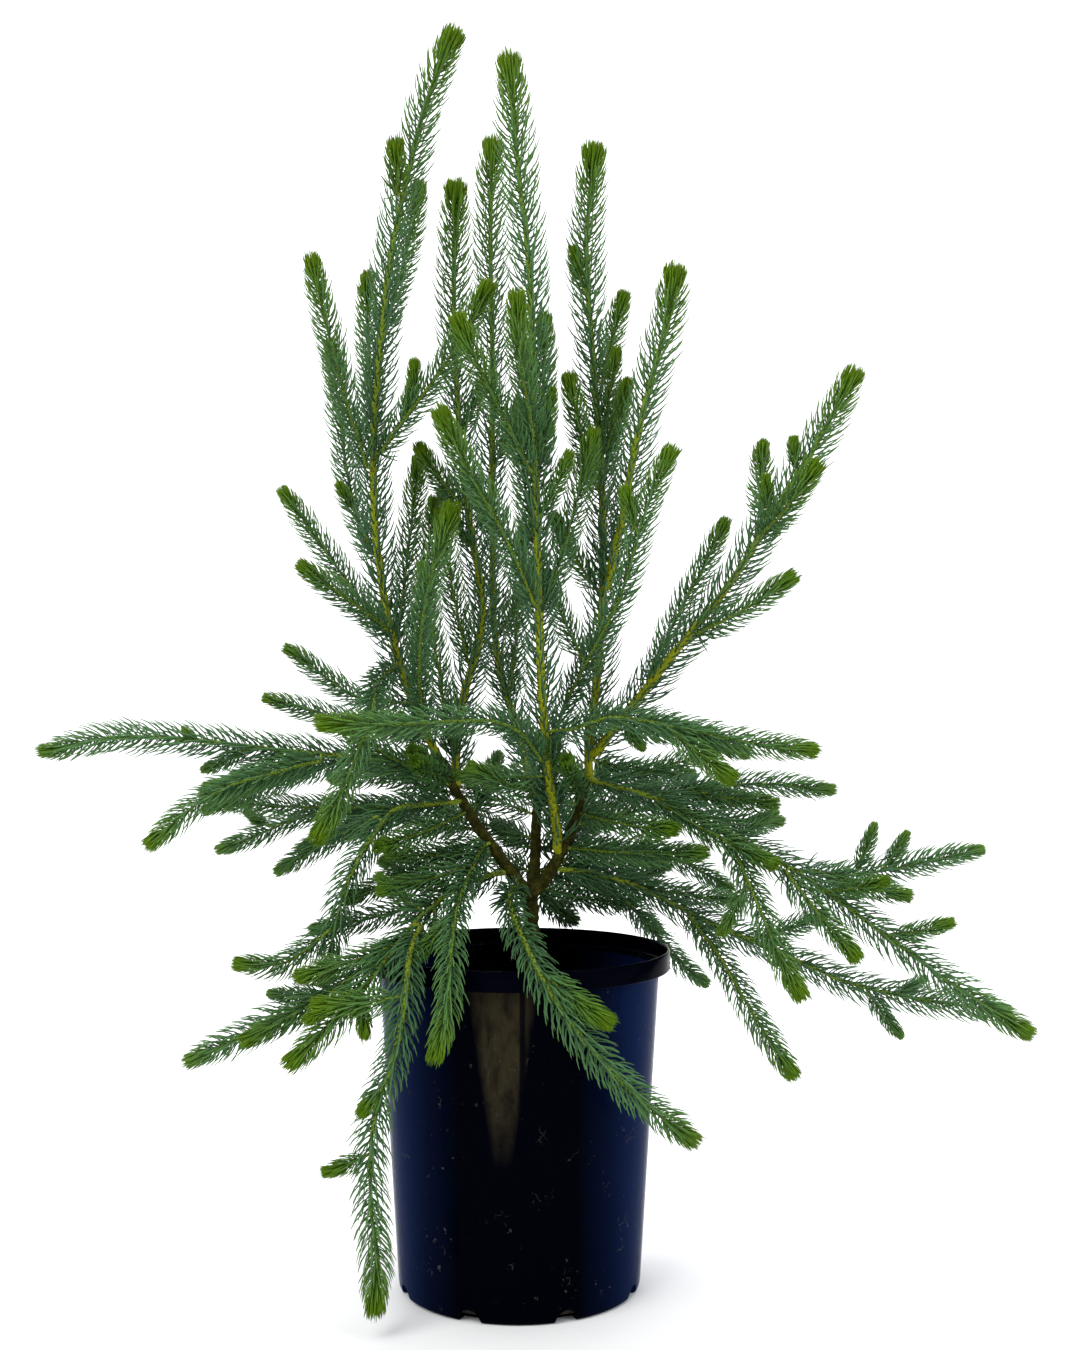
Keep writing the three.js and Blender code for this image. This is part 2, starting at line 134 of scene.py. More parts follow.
class Nodes:
    """A small helper that adds and links shader nodes in one material."""

    def __init__(self, name):
        self.material = bpy.data.materials.new(name)
        self.material.use_nodes = True
        self.tree = self.material.node_tree
        self.shader = self.tree.nodes["Principled BSDF"]

    def add(self, kind, **values):
        node = self.tree.nodes.new(kind)
        for key, value in values.items():
            setattr(node, key, value)
        return node

    def link(self, source, target):
        self.tree.links.new(source, target)

    def noise(self, vector, scale, detail=4, roughness=0.6):
        node = self.add("ShaderNodeTexNoise")
        node.inputs["Scale"].default_value = scale
        node.inputs["Detail"].default_value = detail
        node.inputs["Roughness"].default_value = roughness
        self.link(vector, node.inputs["Vector"])
        return node.outputs["Fac"]

    def ramp(self, source, *stops):
        node = self.add("ShaderNodeValToRGB")
        elements = node.color_ramp.elements
        while len(elements) < len(stops):
            elements.new(0.5)
        for element, (place, colour) in zip(elements, stops):
            element.position = place
            element.color = (*colour, 1)
        self.link(source, node.inputs["Fac"])
        return node.outputs["Color"]

    def mix(self, factor, first, second, blend="MIX"):
        node = self.add("ShaderNodeMix", data_type="RGBA", blend_type=blend)
        for socket, value in ((node.inputs[0], factor), (node.inputs[6], first), (node.inputs[7], second)):
            if isinstance(value, (int, float)):
                socket.default_value = value
            elif isinstance(value, tuple):
                socket.default_value = (*value, 1)
            else:
                self.link(value, socket)
        return node.outputs[2]

    def measure(self, operation, *values):
        node = self.add("ShaderNodeMath", operation=operation)
        for socket, value in zip(node.inputs, values):
            if isinstance(value, (int, float)):
                socket.default_value = value
            else:
                self.link(value, socket)
        return node.outputs["Value"]

    def bump(self, height, strength, distance):
        node = self.add("ShaderNodeBump")
        node.inputs["Strength"].default_value = strength
        node.inputs["Distance"].default_value = distance
        self.link(height, node.inputs["Height"])
        self.link(node.outputs["Normal"], self.shader.inputs["Normal"])

    def place(self):
        return self.add("ShaderNodeTexCoord").outputs["Object"]

    def uv(self):
        """The (age, along) coordinates that every leafy piece carries."""
        node = self.add("ShaderNodeSeparateXYZ")
        source = self.add("ShaderNodeUVMap", uv_map=BAKE_MAP)
        self.link(source.outputs["UV"], node.inputs["Vector"])
        return node.outputs["X"], node.outputs["Y"]


def needle_material():
    """Dark blue-green for old needles, bright yellow-green for young. u is the age, v runs to the point."""
    m = Nodes("needle_green")
    age, along = m.uv()
    base = m.ramp(
        age,
        (0.0, (0.050, 0.124, 0.058)),
        (0.20, (0.072, 0.170, 0.058)),
        (0.45, (0.084, 0.180, 0.026)),
        (0.75, (0.085, 0.178, 0.006)),
        (1.0, (0.086, 0.165, 0.002)),
    )
    shade = m.ramp(along, (0.0, (0.80, 0.80, 0.70)), (0.5, WHITE), (1.0, (1.18, 1.14, 0.95)))
    m.link(m.mix(1.0, base, shade, "MULTIPLY"), m.shader.inputs["Base Color"])
    m.shader.inputs["Roughness"].default_value = 0.5
    m.shader.inputs["Specular IOR Level"].default_value = 0.12
    return m.material


def stem_material():
    """Young stems are green, older ones yellow-green to mustard, with small brown flecks of painted shade in
    the gaps between leaf bases.
    """
    m = Nodes("stem_skin")
    age, _ = m.uv()
    place = m.place()
    skin = m.ramp(
        age,
        (0.0, (0.220, 0.190, 0.010)),
        (0.25, (0.310, 0.350, 0.008)),
        (0.55, (0.200, 0.300, 0.030)),
        (1.0, (0.110, 0.220, 0.030)),
    )
    # painted shade: small brown flecks stand in for the shade in gaps between leaf bases
    painted_gap_shade = m.ramp(m.noise(place, 900, 2), (0.50, WHITE), (0.66, (0.42, 0.33, 0.22)))
    m.link(m.mix(1.0, skin, painted_gap_shade, "MULTIPLY"), m.shader.inputs["Base Color"])
    m.bump(m.noise(place, 1400, 2), 0.35, 0.0004)
    m.shader.inputs["Roughness"].default_value = 0.55
    m.shader.inputs["Specular IOR Level"].default_value = 0.12
    return m.material


def bark_material():
    """Dark olive-brown bark, rough and uneven."""
    m = Nodes("bark")
    place = m.place()
    colour = m.ramp(
        m.noise(place, 260, 6, 0.7),
        (0.30, (0.008, 0.008, 0.001)),
        (0.50, (0.030, 0.030, 0.003)),
        (0.72, (0.085, 0.080, 0.010)),
    )
    m.link(colour, m.shader.inputs["Base Color"])
    m.bump(m.noise(place, 520, 5, 0.7), 0.7, 0.0012)
    m.shader.inputs["Roughness"].default_value = 0.8
    m.shader.inputs["Specular IOR Level"].default_value = 0.1
    return m.material


# Heights and widths on the pot are multiplied by these, so that a ramp's places from 0 to 1 span them
HEIGHT_SCALE = 5.0
WIDTH_SCALE = 10.0
RIM_BAND_FOOT = 0.885  # the foot of the rim band on the scale of heights


def strength(value):
    """A grey that scales what it is multiplied with."""
    return (value, value, value)


def painted_reflection_band(m, place, side, depth, height):
    """Where a tan reflection is painted on the plastic: a cloudy band on the front that tapers downwards,
    with a thin gap in it.
    """
    tall = m.ramp(
        m.measure("MULTIPLY", height, HEIGHT_SCALE),
        (0.42, BLACK), (0.62, WHITE), (RIM_BAND_FOOT, WHITE), (RIM_BAND_FOOT + 0.005, BLACK),
    )
    half_width = m.measure("MULTIPLY_ADD", height, 0.15, -0.0075)
    across = m.measure("DIVIDE", m.measure("ABSOLUTE", m.measure("ADD", side, 0.008)), half_width)
    band = m.ramp(across, (0.62, WHITE), (1.0, BLACK))
    gap = m.measure("MULTIPLY", m.measure("ABSOLUTE", m.measure("SUBTRACT", side, 0.0025)), 100.0)
    line = m.ramp(gap, (0.10, strength(0.12)), (0.20, WHITE))
    front = m.ramp(m.measure("MULTIPLY", depth, -WIDTH_SCALE), (0.30, BLACK), (0.50, WHITE))
    streaky = m.add("ShaderNodeMapping")
    streaky.inputs["Scale"].default_value = (1.0, 1.0, 0.35)
    m.link(place, streaky.inputs["Vector"])
    cloudy = m.ramp(m.noise(streaky.outputs["Vector"], 150, 5, 0.7), (0.36, strength(0.35)), (0.58, WHITE))
    painted_tan_reflection = m.mix(1.0, m.mix(1.0, tall, band, "MULTIPLY"), m.mix(1.0, front, cloudy, "MULTIPLY"), "MULTIPLY")
    return m.mix(1.0, painted_tan_reflection, line, "MULTIPLY")


def splash_marks(m, place):
    """Where dried specks and fine curved scratches are."""
    specks = m.ramp(m.noise(place, 300, 2, 0.5), (0.69, BLACK), (0.73, WHITE))
    patches = m.ramp(m.noise(place, 30, 3, 0.6), (0.50, BLACK), (0.60, WHITE))
    off_middle = m.measure("ABSOLUTE", m.measure("SUBTRACT", m.noise(place, 85, 3, 0.5), 0.5))
    scratches = m.ramp(m.measure("MULTIPLY", off_middle, 10.0), (0.025, WHITE), (0.06, BLACK))
    scarce = m.ramp(m.noise(place, 62, 2, 0.5), (0.60, BLACK), (0.66, WHITE))
    marks = m.mix(1.0, specks, m.mix(1.0, scratches, scarce, "MULTIPLY"), "ADD")
    return m.mix(1.0, marks, patches, "MULTIPLY")


def pot_material():
    """Black plastic with a navy reflection painted on its flanks, a tapering tan band of painted reflection
    down its front, and specks and scratches.
    """
    m = Nodes("pot_plastic")
    place = m.place()
    axes = m.add("ShaderNodeSeparateXYZ")
    m.link(place, axes.inputs["Vector"])
    side, depth, height = axes.outputs
    painted_tan_reflection = painted_reflection_band(m, place, side, depth, height)
    splashes = splash_marks(m, place)
    film = m.ramp(m.noise(place, 9, 5, 0.65), (0.45, BLACK), (0.80, WHITE))
    # painted reflection: the plastic is near black facing front and back, and a navy reflection of the sky is
    # painted on, growing towards the flanks
    navy_painted_reflection = m.ramp(
        m.measure("MULTIPLY", m.measure("ABSOLUTE", side), WIDTH_SCALE),
        (0.32, (0.0003, 0.0006, 0.0022)),
        (0.48, (0.0014, 0.0040, 0.0170)),
        (0.63, (0.0028, 0.0100, 0.0460)),
        (0.80, (0.0050, 0.0180, 0.0740)),
    )
    # the rim band stays near black, without the painted reflection
    rim_band = m.ramp(
        m.measure("MULTIPLY", height, HEIGHT_SCALE),
        (RIM_BAND_FOOT, BLACK), (RIM_BAND_FOOT + 0.010, WHITE),
    )
    navy_painted_reflection = m.mix(rim_band, navy_painted_reflection, (0.0005, 0.0008, 0.0030))
    plastic_with_painted_reflection = m.mix(film, navy_painted_reflection, m.mix(1.0, navy_painted_reflection, (0.6, 0.7, 0.8), "MULTIPLY"))
    # painted reflection: a tan band down the front stands in for the reflection of something tan in front of
    # the pot
    colour_with_painted_tan_reflection = m.mix(painted_tan_reflection, plastic_with_painted_reflection, (0.0250, 0.0205, 0.0110))
    m.link(m.mix(splashes, colour_with_painted_tan_reflection, (0.0420, 0.0400, 0.0360)), m.shader.inputs["Base Color"])
    rough = m.mix(film, strength(0.14), strength(0.24))
    m.link(m.mix(splashes, rough, strength(0.75)), m.shader.inputs["Roughness"])
    m.bump(m.noise(place, 60, 3, 0.5), 0.03, 0.002)
    m.shader.inputs["Specular IOR Level"].default_value = 0.005
    return m.material


def mix_material():
    """Dark brown crumbs with a few paler ones."""
    m = Nodes("potting_mix_dark")
    place = m.place()
    colour = m.ramp(
        m.noise(place, 330, 7, 0.75),
        (0.32, (0.006, 0.0045, 0.003)),
        (0.52, (0.022, 0.015, 0.009)),
        (0.70, (0.060, 0.040, 0.022)),
        (0.82, (0.160, 0.120, 0.075)),
    )
    m.link(colour, m.shader.inputs["Base Color"])
    m.bump(m.noise(place, 480, 6, 0.7), 1.0, 0.003)
    m.shader.inputs["Roughness"].default_value = 0.95
    return m.material


def chip_material(name, dark, light):
    m = Nodes(name)
    place = m.place()
    m.link(m.ramp(m.noise(place, 300, 4), (0.35, dark), (0.65, light)), m.shader.inputs["Base Color"])
    m.bump(m.noise(place, 900, 3), 0.5, 0.0006)
    m.shader.inputs["Roughness"].default_value = 0.9
    return m.material


def stage_material(name, colour):
    m = Nodes(name)
    shaded = tuple(0.97 * c for c in colour)
    m.link(m.mix(m.noise(m.place(), 3, 2), colour, shaded), m.shader.inputs["Base Color"])
    m.shader.inputs["Roughness"].default_value = 0.9
    m.shader.inputs["Specular IOR Level"].default_value = 0.1
    return m.material


# ---------------------------------------------------------------- mesh helpers

def add_piece(name, vertices, faces, material, coordinates=None):
    """A mesh piece of the plant or pot. coordinates gives each vertex its (u, v)."""
    mesh = bpy.data.meshes.new(name)
    mesh.from_pydata(vertices.tolist(), [], faces)
    if coordinates is not None:
        layer = mesh.uv_layers.new(name=BAKE_MAP)
        corner = np.empty(len(mesh.loops), dtype=np.int32)
        mesh.loops.foreach_get("vertex_index", corner)
        layer.data.foreach_set("uv", coordinates[corner].astype(np.float32).ravel())
    mesh.materials.append(material)
    mesh.polygons.foreach_set("use_smooth", [True] * len(mesh.polygons))
    mesh.update()
    piece = bpy.data.objects.new(name, mesh)
    bpy.context.collection.objects.link(piece)
    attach(piece, "root")
    return piece


def resampled(points, step):
    """The same line with points at an even step, and how far along it each one is."""
    lengths = np.concatenate([[0], np.cumsum(np.linalg.norm(np.diff(points, axis=0), axis=1))])
    count = max(4, int(round(lengths[-1] / step)) + 1)
    at = np.linspace(0, lengths[-1], count)
    return np.stack([np.interp(at, lengths, points[:, k]) for k in range(3)], axis=1), at


def smoothed(points, passes):
    """The line with its inner points evened out a number of times."""
    points = points.copy()
    for _ in range(passes):
        points[1:-1] = 0.5 * points[1:-1] + 0.25 * (points[:-2] + points[2:])
    return points


def frames_along(points):
    """Tangents and two crosswise directions at each point, turning as little as possible along the line."""
    tangents = np.gradient(points, axis=0)
    tangents /= np.linalg.norm(tangents, axis=1, keepdims=True)
    across = np.cross(tangents[0], (0.3, 1, 0.2))
    sides = []
    for tangent in tangents:
        across = across - tangent * (across @ tangent)
        across = across / np.linalg.norm(across)
        sides.append(across.copy())
    sides = np.array(sides)
    return tangents, sides, np.cross(tangents, sides)


# ---------------------------------------------------------------- spines of the CAD sleeves

def welded(node):
    """A CAD node's vertices with equal ones merged, and its edges."""
    mesh = node.data
    places = np.empty(len(mesh.vertices) * 3)
    mesh.vertices.foreach_get("co", places)
    places = places.reshape(-1, 3)
    keys, inverse = np.unique(np.round(places / WELD).astype(np.int64), axis=0, return_inverse=True)
    ends = np.empty(len(mesh.edges) * 2, dtype=np.int64)
    mesh.edges.foreach_get("vertices", ends)
    ends = inverse.reshape(-1)[ends].reshape(-1, 2)
    ends = np.unique(np.sort(ends[ends[:, 0] != ends[:, 1]], axis=1), axis=0)
    return keys * WELD, ends


def walked(places, ends, start):
    """How far every vertex is from the start, walking along edges."""
    beside = [[] for _ in places]
    for a, b in ends:
        far = float(np.linalg.norm(places[a] - places[b]))
        beside[a].append((b, far))
        beside[b].append((a, far))
    found = np.full(len(places), np.inf)
    found[start] = 0
    heap = [(0.0, start)]
    while heap:
        here, a = heapq.heappop(heap)
        if here > found[a]:
            continue
        for b, far in beside[a]:
            if here + far < found[b]:
                found[b] = here + far
                heapq.heappush(heap, (here + far, b))
    return found


def spine_of(node):
    """The middle line of a CAD sleeve, from one end to the other."""
    places, ends = welded(node)
    end = int(np.argmax(walked(places, ends, 0)))
    away = walked(places, ends, end)
    low, high = away[ends[:, 0]], away[ends[:, 1]]
    middles = [places[end]]
    for level in np.arange(SPINE_STEP, away.max() - SPINE_STEP / 2, SPINE_STEP):
        cut = (low < level) != (high < level)
        share = ((level - low[cut]) / (high[cut] - low[cut]))[:, None]
        middles.append((places[ends[cut, 0]] * (1 - share) + places[ends[cut, 1]] * share).mean(axis=0))
    middles.append(places[int(np.argmax(away))])
    line, _ = resampled(smoothed(np.array(middles), 2), SPINE_STEP)
    return line


def gap_to(point, line):
    """How far a point is from the nearest point of a line."""
    return float(np.linalg.norm(line - point, axis=1).min())


def foot_first(name, spines):
    """The spine turned to start where it grows: low down for wood, and beside its parent for a shoot."""
    line = spines[name]
    if name in WOOD:
        return line if line[0][2] < line[-1][2] else line[::-1]
    others = [points for other, points in spines.items() if other != name]
    first, last = (min(gap_to(end, points) for points in others) for end in (line[0], line[-1]))
    return line if first < last else line[::-1]


def joined_to_parent(name, spines):
    """The spine with the nearest point of its parent's spine, which it grows from, put before its foot."""
    line = spines[name]
    foot = line[0]
    heading = (line[2] - foot) / np.linalg.norm(line[2] - foot)
    best, root = math.inf, foot
    for other, points in spines.items():
        if other == name:
            continue
        ways = foot - points
        ahead = ways @ heading
        costs = np.linalg.norm(ways, axis=1) + np.where(ahead < 0, -2 * ahead, 0)
        nearest = int(np.argmin(costs))
        if costs[nearest] < best:
            best, root = costs[nearest], points[nearest]
    return np.vstack([root[None], line])


# ---------------------------------------------------------------- stems and needles

def tube(line, radii, sides, ages):
    """A closed tube along a line, with (age, around) coordinates."""
    tangents, across, over = frames_along(line)
    count = len(line)
    angles = np.linspace(0, 2 * math.pi, sides, endpoint=False)
    ring = across[:, None] * np.cos(angles)[None, :, None] + over[:, None] * np.sin(angles)[None, :, None]
    body = (line[:, None] + ring * radii[..., None]).reshape(-1, 3)
    start = line[0] - tangents[0] * radii[0].mean() * 0.5
    end = line[-1] + tangents[-1] * radii[-1].mean() * 0.8
    vertices = np.vstack([body, start, end])
    faces = []
    for i in range(count - 1):
        for j in range(sides):
            k = (j + 1) % sides
            faces.append((i * sides + j, i * sides + k, (i + 1) * sides + k, (i + 1) * sides + j))
    first, last = count * sides, count * sides + 1
    for j in range(sides):
        k = (j + 1) % sides
        faces.append((first, k, j))
        faces.append((last, (count - 1) * sides + j, (count - 1) * sides + k))
    around = np.abs(np.linspace(-1, 1, sides, endpoint=False))
    uv = np.stack(np.broadcast_arrays(ages[:, None], around[None]), axis=-1).reshape(-1, 2)
    uv = np.vstack([uv, [[ages[0], 0.5]], [[ages[-1], 0.5]]])
    return vertices, faces, uv


# The rings of a needle, each as a share of its length and a share of its radius
NEEDLE_RINGS = ((0.04, 0.80), (0.30, 1.0), (0.64, 0.96), (0.90, 0.56))
RING_ANGLES = (math.pi / 2, math.pi * 7 / 6, math.pi * 11 / 6)
AGE_STEP = 0.006  # how far a ring's three corners differ in age colour
AGE_LIMITS = (0.002, 0.998)


def needles(roots, tangents, radials, lengths, openings, ends, ages, thickness):
    """Curved tapering needles, three-sided and closed at both ends, as one mesh."""
    count = len(roots)
    crosswise = np.cross(tangents, radials)
    steps = NEEDLE_STEPS
    shares = np.linspace(0, 1, steps + 1)
    halfway = (shares[:-1] + shares[1:]) / 2
    angle = openings[:, None] + (ends - openings)[:, None] * halfway ** NEEDLE_BEND
    piece = (lengths / steps)[:, None]
    forward = np.concatenate([np.zeros((count, 1)), np.cumsum(np.cos(angle) * piece, axis=1)], axis=1)
    outward = np.concatenate([np.zeros((count, 1)), np.cumsum(np.sin(angle) * piece, axis=1)], axis=1)

    def at(share):
        k = share * steps
        low = min(int(k), steps - 1)
        part = k - low
        ahead = forward[:, low] * (1 - part) + forward[:, low + 1] * part
        out = outward[:, low] * (1 - part) + outward[:, low + 1] * part
        slope = angle[:, low]
        middle = roots + tangents * ahead[:, None] + radials * out[:, None]
        across = radials * np.cos(slope)[:, None] - tangents * np.sin(slope)[:, None]
        return middle, across

    layers = [at(0)[0][:, None]]
    along = [[0.0]]
    for share, width in NEEDLE_RINGS:
        middle, across = at(share)
        radius = (thickness * width)[:, None]
        ring = [
            middle + (across * math.cos(a) + crosswise * math.sin(a) * NEEDLE_DEPTH) * radius
            for a in RING_ANGLES
        ]
        layers.append(np.stack(ring, axis=1))
        along.append([share] * 3)
    layers.append(at(1.0)[0][:, None])
    along.append([1.0])
    vertices = np.concatenate(layers, axis=1)
    per = vertices.shape[1]
    along = np.concatenate(along)
    rings = len(NEEDLE_RINGS)
    pattern = []
    for j in range(3):
        k = (j + 1) % 3
        pattern.append((0, 1 + k, 1 + j))
        for i in range(rings - 1):
            a, b = 1 + 3 * i, 4 + 3 * i
            pattern.append((a + j, a + k, b + k, b + j))
        last = 1 + 3 * (rings - 1)
        pattern.append((last + j, last + k, per - 1))
    faces = [tuple(n * per + v for v in face) for n in range(count) for face in pattern]
    spread = np.concatenate([[0.0], np.tile((-AGE_STEP, 0.0, AGE_STEP), rings), [0.0]])
    uv = np.stack(np.broadcast_arrays(ages[:, None] + spread[None], along[None]), axis=-1)
    return vertices.reshape(-1, 3), faces, np.clip(uv.reshape(-1, 2), *AGE_LIMITS)


def blend(pair, young):
    """A value between that of old needles and that of young ones."""
    return pair[0] + (pair[1] - pair[0]) * young


def climbed(value, low, high):
    """0 below the low value, 1 above the high one, and a share of the way between them."""
    return np.clip((value - low) / (high - low), 0, 1)


def light_on(line, heights):
    """How well lit a shoot's tip is, by its height or by how far it reaches to the front."""
    tip = line[-1]
    return max(climbed(tip[2], *heights), climbed(-tip[1], *FRONT_REACH))


def vigour_of(line):
    """The size of a shoot's head as a share of a leader's. It is smaller low down and away from the front."""
    return HEAD_SIZE[0] + HEAD_SIZE[1] * light_on(line, HEAD_HEIGHT)


def clothe(line, kind, oldest, bare):
    """Needles up a stem and round its tip. oldest is the age colour at the foot, and bare is the length of
    the foot without needles. A shoot low down and away from the lit front has a smaller head, with a duller
    age colour painted on as shade."""
    size = SIZES[kind]
    vigour = vigour_of(line)
    # painted light: the tip's age colour is brighter where light falls on the shoot and duller where it is in
    # shade
    painted_light_tip_age = PAINTED_LIGHT_AGE[0] + PAINTED_LIGHT_AGE[1] * light_on(line, PAINTED_LIGHT_HEIGHT)
    points, at = resampled(line, 1 * MM)
    points = smoothed(points, 3)
    tangents, across, over = frames_along(points)
    length = at[-1] / MM
    places, s = [], bare
    while s < length:
        places.append(s)
        crowded = math.exp((s - length) / (DENSE_LENGTH * size))
        s += size / blend(NEEDLES_PER_MM, crowded)
    extra = int(TUFT_NEEDLES * size * vigour)
    tuft = np.arange(len(places) + extra) >= len(places)
    places = np.array(places + [length] * extra)
    count = len(places)
    turn = rng.uniform(0, 2 * math.pi) + np.arange(count) * GOLDEN_ANGLE + rng.normal(0, TURN_SPREAD, count)
    behind = (length - places) / size
    young = np.exp(-behind / YOUNG_LENGTH)
    share = np.sqrt((np.maximum(np.arange(count) - (count - extra), 0) + 0.5) / extra)
    lengths = blend(NEEDLE_LENGTH, young) * rng.normal(1, LENGTH_SPREAD, count)
    lengths = lengths * size * blend((1, vigour), young)
    tuft_lengths = (1 - TUFT_SHORTENING * share ** 2) * rng.normal(1, LENGTH_SPREAD, count)
    lengths = lengths * np.where(tuft, tuft_lengths, 1)
    openings = np.where(tuft, TUFT_OPENING[kind] * share, blend(NEEDLE_OPENING, young))
    openings = openings + rng.normal(0, OPENING_SPREAD, count)
    ends = np.where(tuft, TUFT_END[0] + TUFT_END[1] * share, blend(NEEDLE_END, young))
    ends = ends + rng.normal(0, END_SPREAD, count)
    k = np.minimum((places / length * (len(points) - 1)).astype(int), len(points) - 2)
    part = (places / length * (len(points) - 1) - k)[:, None]
    middle = points[k] * (1 - part) + points[k + 1] * part
    radial = across[k] * np.cos(turn)[:, None] + over[k] * np.sin(turn)[:, None]
    leaning = radial + np.cross(tangents[k], radial) * rng.normal(0, LEAN_SPREAD, count)[:, None]
    leaning /= np.linalg.norm(leaning, axis=1, keepdims=True)
    inside = np.where(tuft, TUFT_ROOTS[0] + TUFT_ROOTS[1] * share, ROOT_DISTANCE)[:, None] * MM * size
    slow, quick = (weight * np.exp(-behind / fade) for weight, fade in AGE_FADES)
    ages = oldest + (painted_light_tip_age - oldest) * (slow + quick)
    # painted light from above: needles high up get a lighter age colour
    ages = ages + TOP_PAINTED_LIGHT * climbed(middle[:, 2], *TOP_PAINTED_LIGHT_HEIGHT) + rng.normal(0, AGE_SPREAD, count)
    thickness = blend(NEEDLE_RADIUS, young) * MM * size ** THICKNESS_POWER
    thickness = thickness * rng.uniform(*THICKNESS_RANGE, count)
    thickness = thickness * np.where(tuft, TUFT_THICKNESS, 1)
    return needles(
        middle + radial * inside, tangents[k], leaning, lengths * MM,
        np.radians(openings), np.radians(ends), ages, thickness,
    )


def together(parts):
    """Several (vertices, faces, coordinates) as one."""
    vertices, faces, coordinates, shift = [], [], [], 0
    for v, f, c in parts:
        vertices.append(v)
        coordinates.append(c)
        faces += [tuple(i + shift for i in face) for face in f]
        shift += len(v)
    return np.vstack(vertices), faces, np.vstack(coordinates)


STEM_SIDES = 8
STEM_STEP = 1.6 * MM
STEM_KNOBS = 0.07
STEM_TAPER = 1.3  # above 1, a stem keeps its thickness at first and thins towards its tip


def stem(line, foot, tip, oldest):
    """A thin stem, a little knobbly where needles sit."""
    points, at = resampled(line, STEM_STEP)
    points = smoothed(points, 3)
    share = at / at[-1]
    radii = (foot + (tip - foot) * share ** STEM_TAPER)[:, None] * MM
    radii = radii * (1 + rng.normal(0, STEM_KNOBS, (len(points), STEM_SIDES)))
    ages = np.clip(oldest + (1 - oldest) * share ** 2, 0.01, 0.99)
    return tube(points, radii, STEM_SIDES, ages)


